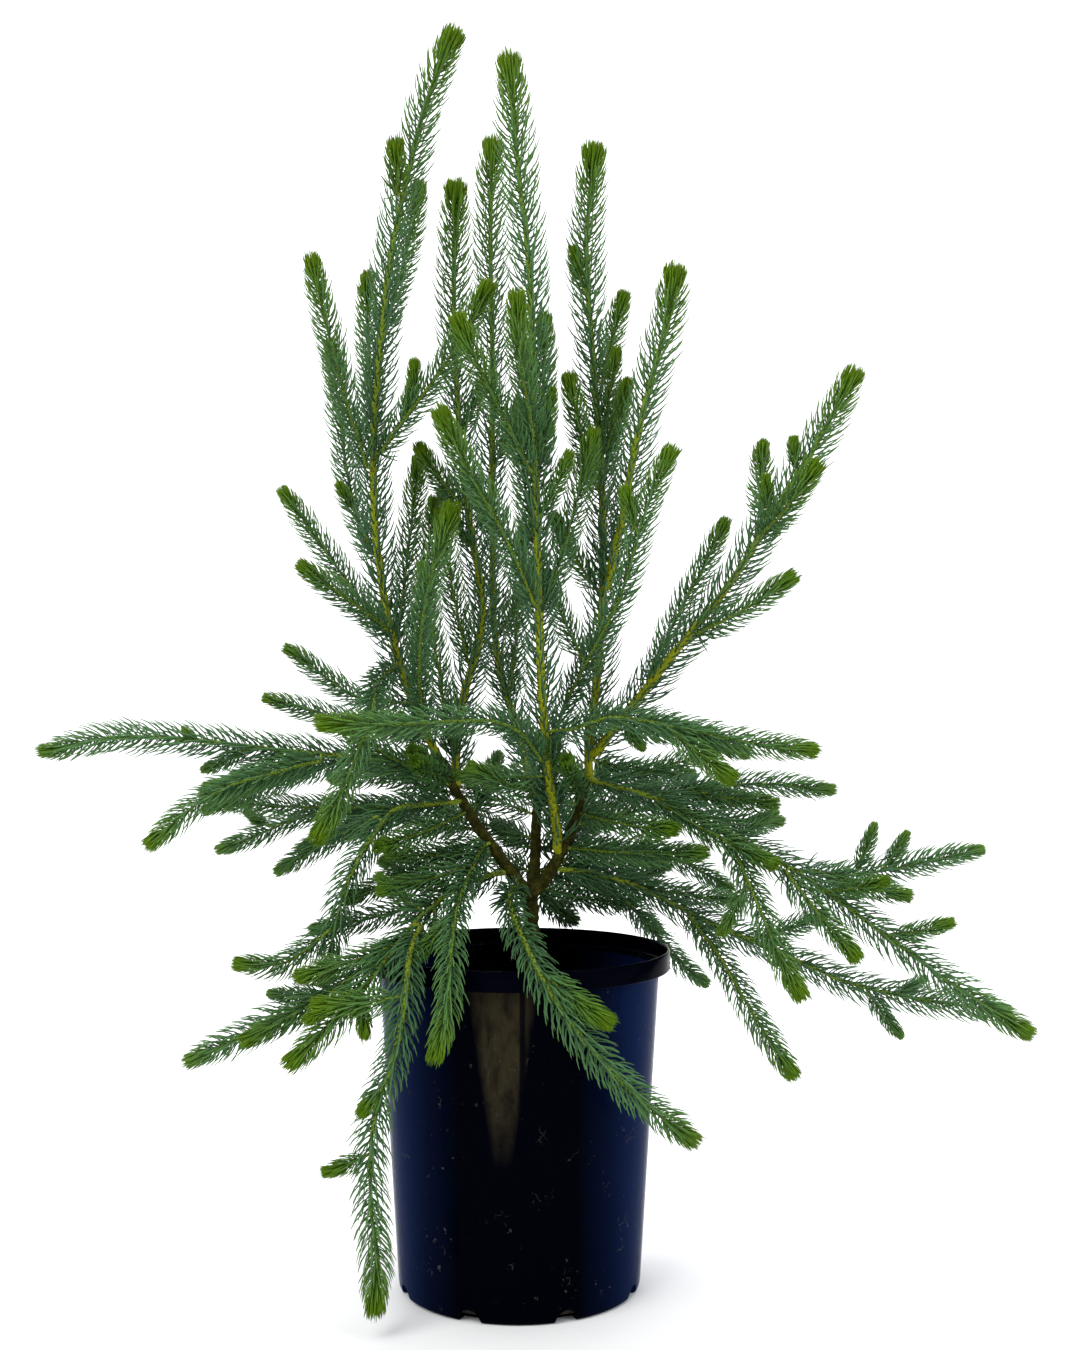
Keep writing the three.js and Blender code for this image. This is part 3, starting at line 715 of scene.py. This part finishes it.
# Sprigs too small or too hidden to be solids of their own: the piece that each grows from, how far along it,
# the way it points as (right, back, up), and its length in millimetres.
SPRIGS = {
    "limb_left": (
        (0.35, (-1.0, -0.5, -0.1), 70), (0.50, (-1.0, 0.6, 0.0), 95), (0.62, (-0.7, -0.9, -0.35), 80),
        (0.75, (-1.0, 0.9, 0.1), 90), (0.80, (-0.9, -0.6, 0.35), 80), (0.85, (-0.3, -1.0, 0.1), 60),
        (0.92, (-0.3, -0.9, 0.1), 50), (0.97, (-1.0, 0.7, -0.3), 90), (0.60, (0.2, 1.0, 0.3), 80),
        (0.45, (-1.0, -0.4, -0.55), 95),
    ),
    "limb_middle": (
        (0.50, (0.5, 1.0, 0.0), 90), (0.60, (-0.8, 0.8, 0.1), 90), (0.75, (0.9, 0.7, 0.1), 100),
        (0.85, (-1.0, 0.5, 0.3), 80), (0.90, (0.2, -1.0, 0.5), 50), (0.95, (0.9, 0.2, 0.4), 36),
        (0.30, (0.7, 1.0, -0.4), 90), (0.50, (-0.5, 1.0, 0.1), 60), (0.25, (-0.6, 0.8, 0.1), 60),
    ),
    "limb_right": (
        (0.35, (0.9, 0.9, -0.2), 100), (0.45, (1.0, -0.5, -0.1), 90), (0.60, (1.0, 0.7, 0.1), 110),
        (0.70, (0.8, -0.9, -0.2), 80), (0.75, (-0.9, -0.5, 0.2), 75), (0.80, (-0.2, -1.0, 0.3), 55),
        (0.90, (1.0, 0.5, 0.12), 100), (0.95, (-0.6, -0.9, 0.3), 55), (0.55, (0.3, 1.0, 0.3), 90),
        (0.12, (0.8, 0.9, -0.35), 95), (0.10, (0.3, 0.9, -0.45), 85),
    ),
    "leader_left": (
        (0.06, (-1.0, -0.6, -0.15), 60), (0.10, (0.12, 0.5, 1.0), 105), (0.17, (0.14, 0.25, 1.0), 92),
    ),
    "leader_front": (
        (0.12, (-0.8, 0.3, -0.1), 60), (0.32, (0.38, 0.25, 1.0), 92), (0.50, (0.28, 0.1, 1.0), 40),
        (0.40, (-0.22, 0.2, 1.0), 62),
        (0.52, (-0.4, 0.5, 1.0), 34), (0.60, (-0.3, -0.5, 1.0), 40), (0.44, (0.7, -0.3, 1.0), 38),
    ),
    "leader_mid_left": (
        (0.05, (-0.2, -0.2, 1.0), 95), (0.22, (-0.25, -0.3, 1.0), 80), (0.62, (0.6, 0.4, 1.0), 36),
        (0.42, (-0.8, -0.3, 1.0), 40),
    ),
    "leader_back": (
        (0.20, (0.12, -0.3, 1.0), 90), (0.30, (0.7, -0.5, 0.9), 56), (0.45, (-0.5, -0.6, 1.0), 36),
        (0.55, (0.6, -0.2, 1.0), 40),
    ),
    "leader_right": (
        (0.03, (1.0, 0.8, -0.3), 90), (0.30, (-0.9, -0.4, 1.0), 50), (0.52, (0.5, -0.6, 1.0), 44),
        (0.55, (0.25, -0.3, 1.0), 46), (0.79, (-0.5, -0.2, 1.0), 26),
    ),
    "leader_slanting": (
        (0.10, (0.9, -0.5, -0.15), 60), (0.66, (-0.1, -0.3, 1.0), 24), (0.78, (-0.2, -0.2, 1.0), 20),
        (0.12, (0.5, -0.4, -0.8), 30),
    ),
    "left_side_6": ((0.40, (0.0, -0.3, 1.0), 22), (0.30, (0.3, 0.3, 1.0), 22)),
    "left_side_2": ((0.30, (-0.9, -0.2, 1.0), 22),),
    "right_side_4": ((0.80, (-0.5, -0.3, 1.0), 24), (0.40, (-0.6, 0.2, 1.0), 50)),
    "outer_left_2": (
        (0.25, (-1.0, 0.6, -0.35), 80), (0.35, (-1.0, -0.4, -0.5), 70), (0.62, (-0.9, -0.1, 0.2), 18),
        (0.50, (-1.0, 0.3, -0.6), 40), (0.42, (-1.0, 0.4, -0.7), 50),
    ),
    "outer_left_3": (
        (0.05, (-1.0, 0.1, -0.55), 80), (0.30, (-1.0, -0.3, -0.5), 44),
        (0.50, (-1.0, 0.2, -0.3), 30),
    ),
    "outer_left_4": (
        (0.80, (-0.9, -0.3, 0.3), 24), (0.40, (-0.9, -0.4, -0.6), 60), (0.30, (-0.8, 0.6, -0.5), 60),
        (0.30, (-1.0, -0.2, -0.05), 110),
    ),
    "outer_right_1": (
        (0.50, (0.8, -0.3, -0.8), 50), (0.35, (0.9, 0.5, -0.3), 60),
        (0.55, (1.0, 0.5, -0.5), 50),
    ),
    "outer_right_2": (
        (0.15, (0.9, -0.6, -0.6), 90), (0.25, (0.8, 0.7, -0.2), 80), (0.34, (0.9, 0.8, 0.2), 44),
        (0.55, (0.9, -0.9, 0.1), 44), (0.70, (1.0, -0.4, 0.12), 40),
    ),
    "outer_right_3": ((0.25, (1.0, -0.5, -0.25), 60), (0.10, (0.9, 0.6, -0.2), 70)),
    "outer_right_4": (
        (0.35, (0.6, 0.0, 1.0), 30), (0.50, (0.9, -0.2, 0.9), 28),
        (0.15, (1.0, -0.3, -0.35), 55),
    ),
    "outer_right_5": ((0.40, (-0.4, 0.2, -1.0), 40),),
    "outer_right_7": (
        (0.15, (0.9, 0.5, -0.3), 90), (0.45, (1.0, 0.5, 0.1), 60),
        (0.72, (0.6, -0.2, -1.0), 42), (0.78, (0.9, 0.7, 0.1), 34),
    ),
    "outer_right_9": ((0.50, (0.8, 0.6, 0.3), 50),),
    "outer_right_10": ((0.30, (0.9, 0.8, 0.0), 60), (0.55, (0.5, 0.8, -0.6), 44)),
    "trailing_1": ((0.45, (0.9, -0.35, -0.75), 50),),
    "trailing_2": ((0.20, (-0.8, -0.3, -0.3), 60), (0.50, (-0.6, -0.2, -0.8), 40)),
    "trailing_3": (
        (0.25, (-0.8, 0.6, 0.1), 60), (0.40, (-0.9, 0.2, 0.4), 36), (0.36, (0.2, -0.5, -1.0), 34),
        (0.30, (-0.9, 0.3, -0.35), 90), (0.55, (-0.9, -0.1, -0.4), 60), (0.70, (-0.8, -0.3, -0.6), 44),
        (0.74, (0.1, -0.3, -1.0), 30),
    ),
    "trailing_4": ((0.40, (-0.9, 0.5, -0.2), 44), (0.35, (-0.8, -0.2, -0.55), 60)),
    "trailing_5": (
        (0.48, (-0.7, -0.4, -1.0), 24), (0.66, (-0.9, -0.3, -0.45), 30),
        (0.25, (-1.0, 0.1, -0.25), 50),
    ),
}
LONG_SPRIG = 48  # a sprig at least this long has needles as long as a side shoot's
SPRIG_POINTS = 9
SPRIG_RISE = (0.08, 0.2)  # how far its tip bends up as a share of its length, and what heading up adds
SPRIG_STEM = (0.85, 0.5, 0.5)  # the stem's radius at its foot and its tip, and the age of its skin
SPRIG_AGE = 0.1
SPRIG_BARE = 4
SHOOT_BARE = 7


def sprig_line(parent, share, heading, length):
    """A short shoot that leaves its parent and bends up a little towards its tip."""
    start = parent[int(round(share * (len(parent) - 1)))]
    heading = np.array(heading, dtype=float)
    heading /= np.linalg.norm(heading)
    steps = np.linspace(0, 1, SPRIG_POINTS)[:, None]
    rise = np.array([0, 0, (SPRIG_RISE[0] + SPRIG_RISE[1] * max(heading[2], 0)) * length * MM])
    return start + heading * steps * (length - TUFT_LENGTH * 0.7) * MM + rise * steps ** 2


def cut_back(line, amount):
    """The line without its last stretch, as the head's needles reach past the end of the stem."""
    points, at = resampled(line, 1 * MM)
    keep = at < at[-1] - amount * MM
    return points[keep]


def add_sprigs(name, line, stems, leaves):
    """Adds a shoot's own small sprigs to its lists of stems and needles."""
    for share, heading, length in SPRIGS.get(name, ()):
        kind = "side" if length >= LONG_SPRIG else "sprig"
        sprig = sprig_line(line, share, heading, length)
        stems.append(stem(sprig, *SPRIG_STEM))
        leaves.append(clothe(sprig, kind, SPRIG_AGE, SPRIG_BARE))


# The stem's radius at its foot and its tip in millimetres, and the ages of needles and skin at its foot
SHOOT_LOOKS = {
    "leader": (2.6, 1.15, 0.0, 0.22),
    "long": (1.6, 0.8, 0.05, 0.45),
    "side": (1.0, 0.6, 0.05, 0.5),
}


def add_shoot(name, line, skin, green):
    """A leafy shoot's stem and its needles, with those of its sprigs."""
    kind = "leader" if name.startswith("leader_") else "long" if name in LONG else "side"
    foot, tip, oldest, skin_age = SHOOT_LOOKS[kind]
    line = cut_back(line, TUFT_LENGTH * SIZES[kind] * vigour_of(line))
    stems = [stem(line, foot, tip, skin_age)]
    leaves = [clothe(line, kind, oldest, SHOOT_BARE)]
    add_sprigs(name, line, stems, leaves)
    vertices, faces, coordinates = together(stems)
    add_piece(name + "_stem", vertices, faces, skin, coordinates)
    vertices, faces, coordinates = together(leaves)
    piece = add_piece(name + "_needles", vertices, faces, green, coordinates)
    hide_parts(name)


WOOD_SIDES = 18
WOOD_STEP = 1.5 * MM
WOOD_KNOBS = 0.16
TRUNK_RADII = (5.0, 4.0)  # at its foot and its top, in millimetres
LIMB_RADII = (3.5, 2.5)


def add_wood(name, line, bark, skin, green):
    """The trunk or a limb in bark, with the sprigs that grow from it."""
    points, at = resampled(line, WOOD_STEP)
    points = smoothed(points, 4)
    share = at / at[-1]
    foot, tip = TRUNK_RADII if name == "trunk" else LIMB_RADII
    radii = np.repeat((foot + (tip - foot) * share)[:, None], WOOD_SIDES, axis=1) * MM
    radii = radii * (1 + smoothed(rng.normal(0, WOOD_KNOBS, (len(points), WOOD_SIDES)), 1))
    vertices, faces, coordinates = tube(points, radii, WOOD_SIDES, np.clip(share, 0.01, 0.99))
    piece = add_piece(name + "_wood", vertices, faces, bark, coordinates)
    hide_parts(name)
    if name in SPRIGS:
        stems, leaves = [], []
        add_sprigs(name, points, stems, leaves)
        vertices, faces, coordinates = together(stems)
        add_piece(name + "_sprig_stems", vertices, faces, skin, coordinates)
        vertices, faces, coordinates = together(leaves)
        add_piece(name + "_sprig_needles", vertices, faces, green, coordinates)


def add_plant():
    """Wood and shoots along the middle lines of their CAD nodes, each joined to its parent."""
    skin, green, bark = stem_material(), needle_material(), bark_material()
    spines = {name: spine_of(nodes[name]) for name in (*WOOD, *SHOOTS)}
    spines = {name: foot_first(name, spines) for name in spines}
    joined = {name: joined_to_parent(name, spines) for name in (*WOOD[1:], *SHOOTS)}
    joined["trunk"] = spines["trunk"]
    for name in WOOD:
        add_wood(name, joined[name], bark, skin, green)
    for name in SHOOTS:
        add_shoot(name, joined[name], skin, green)


# ---------------------------------------------------------------- pot and mix

POT_SEGMENTS = 192
RIM_BAND = 11 * MM
RIM_STEP = 6 * MM
WALL = 1.8 * MM
BASE_THICKNESS = 2.4 * MM
BASE_EDGE = 3 * MM
BASE_SHARE = 136 / 170  # the base's width as a share of the rim's
DRAIN_HOLES = 8
DRAIN_WIDTH = 13 * MM
DRAIN_HEIGHT = 7 * MM
DRAIN_DEPTH = 9 * MM
LIP_ROUND = 0.9 * MM
SHARP_ANGLE = math.radians(35)


def arc(centre, radius, start, end, count):
    """Points on part of a circle, between two angles in degrees."""
    angles = [math.radians(start + (end - start) * k / (count - 1)) for k in range(count)]
    return [(centre[0] + radius * math.cos(a), centre[1] + radius * math.sin(a)) for a in angles]


def pot_profile(rim, height):
    """The pot's (radius, height) points, from under its base, up the outside and down the inside."""
    base = rim * BASE_SHARE
    body = rim - RIM_STEP
    band = height - RIM_BAND
    lean = (body - base) / band
    profile = [(0.0, 0.0), (base * 0.5, 0.0)]
    profile += arc((base - BASE_EDGE, BASE_EDGE), BASE_EDGE, -90, -4, 7)
    profile += [(base + lean * z, z) for z in np.linspace(BASE_EDGE * 1.4, band - 1.5 * MM, 14)]
    profile += [(body, band - 0.4 * MM), (body + 0.6 * MM, band)]
    profile += arc((rim - LIP_ROUND, band + LIP_ROUND), LIP_ROUND, -90, 0, 4)
    profile += [(rim - 0.15 * MM, band + RIM_BAND * 0.5)]
    profile += arc((rim - WALL / 2, height - WALL / 2), WALL / 2, 0, 180, 7)
    inside = body - WALL
    profile += [(rim - WALL, band + WALL * 1.4), (rim - WALL * 1.3, band + WALL), (inside, band + WALL)]
    profile += [(inside, band)]
    profile += [(base + lean * z - WALL, z) for z in np.linspace(band - 10 * MM, BASE_THICKNESS + 2 * MM, 10)]
    profile += [(base - WALL - 2 * MM, BASE_THICKNESS), (0.0, BASE_THICKNESS)]
    return profile


def revolve(profile, segments):
    """Vertices and faces of a profile turned round Z, with single points on the axis."""
    vertices, faces, rings = [], [], []
    for radius, z in profile:
        if radius == 0.0:
            rings.append([len(vertices)] * segments)
            vertices.append((0, 0, z))
            continue
        rings.append(list(range(len(vertices), len(vertices) + segments)))
        for j in range(segments):
            a = 2 * math.pi * j / segments
            vertices.append((radius * math.cos(a), radius * math.sin(a), z))
    for lower, upper in zip(rings, rings[1:]):
        for j in range(segments):
            k = (j + 1) % segments
            corners = [lower[j], lower[k], upper[k], upper[j]]
            faces.append(tuple(dict.fromkeys(corners)))
    return np.array(vertices), faces


def apply_modifiers(piece):
    """Makes the piece's modifiers part of its mesh."""
    graph = bpy.context.evaluated_depsgraph_get()
    mesh = bpy.data.meshes.new_from_object(piece.evaluated_get(graph))
    piece.modifiers.clear()
    piece.data = mesh


def turned(x, y, angle):
    """A point turned round Z."""
    return x * math.cos(angle) - y * math.sin(angle), x * math.sin(angle) + y * math.cos(angle)


def add_pot():
    """The pot, with its drain holes cut by one mesh of short cylinders that lie across the base's edge."""
    low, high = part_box("pot")
    rim, height = (high[0] - low[0]) / 2, high[2]
    vertices, faces = revolve(pot_profile(rim, height), POT_SEGMENTS)
    piece = add_piece("pot_shell", vertices, faces, pot_material())
    cutter_mesh = bmesh.new()
    for i in range(DRAIN_HOLES):
        made = bmesh.ops.create_cone(
            cutter_mesh, cap_ends=True, segments=32, radius1=DRAIN_WIDTH / 2, radius2=DRAIN_WIDTH / 2,
            depth=DRAIN_DEPTH * 2,
        )
        turn = 2 * math.pi * (i + 0.5) / DRAIN_HOLES
        for vertex in made["verts"]:
            out = vertex.co.z + rim * BASE_SHARE
            up = vertex.co.x + DRAIN_HEIGHT - DRAIN_WIDTH / 2
            vertex.co = (*turned(out, vertex.co.y, turn), up)
    data = bpy.data.meshes.new("drain_cutter")
    bmesh.ops.recalc_face_normals(cutter_mesh, faces=cutter_mesh.faces)
    cutter_mesh.to_mesh(data)
    cutter_mesh.free()
    cutter = bpy.data.objects.new("drain_cutter", data)
    bpy.context.collection.objects.link(cutter)
    cut = piece.modifiers.new("drain_holes", "BOOLEAN")
    cut.operation = "DIFFERENCE"
    cut.solver = "EXACT"
    cut.object = cutter
    apply_modifiers(piece)
    bpy.data.objects.remove(cutter)
    for polygon in piece.data.polygons:
        polygon.use_smooth = True
    piece.data.set_sharp_from_angle(angle=SHARP_ANGLE)
    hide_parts("pot")


def ripple(x, y, seed):
    """A smooth uneven height, from a few waves in different directions."""
    value = 0.0
    for k in range(6):
        turn = seed + 2.4 * k
        value += math.sin((x * math.cos(turn) + y * math.sin(turn)) * (90 + 70 * k) + 1.7 * k) / (1 + k)
    return value


MIX_RINGS = 60
MIX_SEGMENTS = 180
MIX_MOUND = 4 * MM
MIX_SINK = 0.8 * MM  # how far the rough surface lies below the CAD solid's
MIX_RIPPLE = 0.5 * MM
RIPPLE_SEED = 0.3
CRUMB = 0.5
SIDE_TOP = (0.99, 20 * MM)  # the side's upper ring: share of the edge's radius, and depth below the crown
SIDE_FOOT = (0.86, 1 * MM)  # its lower ring: share of the edge's radius, and height above the solid's foot

# Lumps on the mix: name, count, sizes in millimetres, height as a share of size, material and two colours
LUMPS = (
    ("bark_chips", 520, (1.6, 5.0), 0.35, "chip_brown", (0.016, 0.009, 0.005), (0.10, 0.058, 0.027)),
    ("pale_chips", 90, (1.2, 3.2), 0.30, "chip_pale", (0.13, 0.095, 0.055), (0.34, 0.27, 0.17)),
    ("perlite", 70, (0.8, 1.7), 0.9, "perlite_white", (0.50, 0.49, 0.46), (0.72, 0.71, 0.68)),
)
LUMP_REACH = 0.97
LUMP_TILT = 0.35
LUMP_ROUGHNESS = 0.16
LUMP_WIDTH = (0.45, 0.8)
LUMP_HEIGHT = (0.7, 1.3)
LUMP_LIFT = 0.35
ROUND_LUMP = 0.6  # lumps higher than this share of their size are round, and lie turned any way


def surface_height(x, y, radius, edge, crown):
    """The height of the mix at a place, without its crumbs."""
    hump = MIX_MOUND * math.cos(min(1.0, radius / edge) * math.pi / 2)
    return crown - MIX_MOUND + hump - MIX_SINK + MIX_RIPPLE * ripple(x, y, RIPPLE_SEED)


def ring_faces(lower, upper):
    """The faces between two rings of the mix, each given by the index of its first vertex."""
    faces = []
    for j in range(MIX_SEGMENTS):
        k = (j + 1) % MIX_SEGMENTS
        faces.append((lower + j, upper + j, upper + k, lower + k))
    return faces


def around_ring(radius):
    """The (x, y) places round a ring of the mix."""
    turns = (2 * math.pi * j / MIX_SEGMENTS for j in range(MIX_SEGMENTS))
    return [(radius * math.cos(a), radius * math.sin(a)) for a in turns]


def mix_mesh(edge, crown, foot):
    """The vertices and faces of the mix: a rough top, smooth sides and a flat foot."""
    vertices, faces = [], []
    for i in range(MIX_RINGS + 1):
        radius = edge * i / MIX_RINGS
        for x, y in around_ring(radius):
            crumb = rng.uniform(-CRUMB, CRUMB) * MM * (i > 0) * (i < MIX_RINGS)
            vertices.append((x, y, surface_height(x, y, radius, edge, crown) + crumb))
    middle = vertices[0][2]
    for j in range(MIX_SEGMENTS):
        vertices[j] = (0, 0, middle)
    for i in range(MIX_RINGS):
        faces += ring_faces(i * MIX_SEGMENTS, (i + 1) * MIX_SEGMENTS)
    start = len(vertices)
    for radius, z in ((edge * SIDE_TOP[0], crown - SIDE_TOP[1]), (edge * SIDE_FOOT[0], foot + SIDE_FOOT[1])):
        vertices += [(x, y, z) for x, y in around_ring(radius)]
    vertices.append((0, 0, foot + SIDE_FOOT[1]))
    faces += ring_faces(MIX_RINGS * MIX_SEGMENTS, start)
    faces += ring_faces(start, start + MIX_SEGMENTS)
    last = start + MIX_SEGMENTS
    for j in range(MIX_SEGMENTS):
        faces.append((last + j, len(vertices) - 1, last + (j + 1) % MIX_SEGMENTS))
    return np.array(vertices), faces


def add_lump(made, edge, crown, sizes, flatness):
    """Adds one small broken lump lying on the mix, with its own size and turn."""
    radius = edge * LUMP_REACH * math.sqrt(rng.uniform(0, 1))
    a = rng.uniform(0, 2 * math.pi)
    x, y = radius * math.cos(a), radius * math.sin(a)
    size = rng.uniform(*sizes) * MM
    lump = bmesh.ops.create_icosphere(made, subdivisions=1, radius=1)["verts"]
    turn = Vector(rng.normal(0, 1, 3)).normalized().to_track_quat("Z", "Y")
    lean = Vector((rng.normal(0, LUMP_TILT), rng.normal(0, LUMP_TILT), 1))
    tilt = lean.normalized().to_track_quat("Z", "Y")
    stretch = Vector((size, size * rng.uniform(*LUMP_WIDTH), size * flatness * rng.uniform(*LUMP_HEIGHT)))
    spin = rng.uniform(0, 2 * math.pi)
    shrink = min(1.0, (edge - radius) / size)
    lift = size * flatness * LUMP_LIFT
    ground = surface_height(x, y, math.hypot(x, y), edge, crown)
    for vertex in lump:
        rough = 1 + rng.normal(0, LUMP_ROUGHNESS)
        p = (turn @ vertex.co) * rough if flatness > ROUND_LUMP else vertex.co * rough
        p = Vector((p.x * stretch.x, p.y * stretch.y, p.z * stretch.z))
        p = tilt @ Vector((*turned(p.x, p.y, spin), p.z))
        vertex.co = Vector((x, y, ground + lift)) + p * shrink


def scatter(name, count, edge, crown, sizes, flatness, material):
    """One piece made of many small lumps lying on the mix."""
    made = bmesh.new()
    for _ in range(count):
        add_lump(made, edge, crown, sizes, flatness)
    data = bpy.data.meshes.new(name)
    made.to_mesh(data)
    made.free()
    data.materials.append(material)
    lumps = bpy.data.objects.new(name, data)
    bpy.context.collection.objects.link(lumps)
    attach(lumps, "root")


def add_mix():
    """The potting mix with a rough crumbly top, and bark chips and pale flecks lying on it."""
    low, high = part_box("potting_mix")
    edge = (high[0] - low[0]) / 2
    crown = high[2]
    vertices, faces = mix_mesh(edge, crown, low[2])
    piece = add_piece("potting_mix_body", vertices, faces, mix_material())
    mesh = bmesh.new()
    mesh.from_mesh(piece.data)
    bmesh.ops.remove_doubles(mesh, verts=mesh.verts, dist=1e-6)
    mesh.to_mesh(piece.data)
    mesh.free()
    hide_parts("potting_mix")
    for name, count, sizes, flatness, chip, dark, light in LUMPS:
        scatter(name, count, edge, crown, sizes, flatness, chip_material(chip, dark, light))


# ---------------------------------------------------------------- stage and light

FLOOR_WIDTH = 8.0
FLOOR_FRONT = -4.0
FLOOR_BACK = 1.6
BACKDROP_HEIGHT = 5.0
BACKDROP_BEND = 0.9
BEND_STEPS = 12


def add_stage():
    """A plain pale floor that curves up into a backdrop behind the plant."""
    profile = [(FLOOR_FRONT, 0.0), (FLOOR_BACK, 0.0)]
    for k in range(1, BEND_STEPS + 1):
        a = math.pi / 2 * k / BEND_STEPS
        back = FLOOR_BACK + BACKDROP_BEND * math.sin(a)
        profile.append((back, BACKDROP_BEND - BACKDROP_BEND * math.cos(a)))
    profile.append((FLOOR_BACK + BACKDROP_BEND, BACKDROP_HEIGHT))
    vertices = [(x, y, z) for y, z in profile for x in (-FLOOR_WIDTH / 2, FLOOR_WIDTH / 2)]
    faces = [(2 * i, 2 * i + 1, 2 * i + 3, 2 * i + 2) for i in range(len(profile) - 1)]
    mesh = bpy.data.meshes.new("floor")
    mesh.from_pydata(vertices, [], faces)
    mesh.materials.append(stage_material("floor_white", (0.90, 0.90, 0.90)))
    mesh.polygons.foreach_set("use_smooth", [True] * len(mesh.polygons))
    floor = bpy.data.objects.new("floor", mesh)
    bpy.context.collection.objects.link(floor)


PLANT_MIDDLE = (0, 0, 0.35)
SKY_COLOUR = (0.93, 0.96, 1.0)
SKY_STRENGTH = 0.75

# Area lights: name, place, what it points at, size, power in watts and colour
LIGHTS = (
    ("key", (-1.3, -1.5, 2.3), PLANT_MIDDLE, (1.6, 1.6), 46, (1.0, 0.98, 0.95)),
    ("fill", (1.7, -1.2, 1.1), PLANT_MIDDLE, (1.2, 1.8), 14, (0.93, 0.96, 1.0)),
    ("top", (0.2, 0.3, 2.8), PLANT_MIDDLE, (2.2, 2.2), 30, WHITE),
    ("backdrop", (0, 0.9, 2.9), (0, 2.5, 0.9), (4.0, 0.8), 60, WHITE),
)


def add_light(name, place, target, size, power, colour):
    """A rectangular area light that points at its target."""
    data = bpy.data.lights.new(name, "AREA")
    data.shape = "RECTANGLE"
    data.size, data.size_y = size
    data.energy = power
    data.color = colour
    light = bpy.data.objects.new(name, data)
    light.location = place
    light.rotation_euler = (Vector(target) - Vector(place)).to_track_quat("-Z", "Y").to_euler()
    bpy.context.collection.objects.link(light)


def add_lights():
    """Plain soft studio light, with a pale world around it."""
    world = bpy.data.worlds.new("world")
    bpy.context.scene.world = world
    world.use_nodes = True
    background = world.node_tree.nodes["Background"]
    background.inputs["Color"].default_value = (*SKY_COLOUR, 1)
    background.inputs["Strength"].default_value = SKY_STRENGTH
    for light in LIGHTS:
        add_light(*light)
    bpy.context.scene.view_settings.view_transform = "Standard"


add_camera()
add_pot()
add_mix()
add_plant()
add_stage()
add_lights()
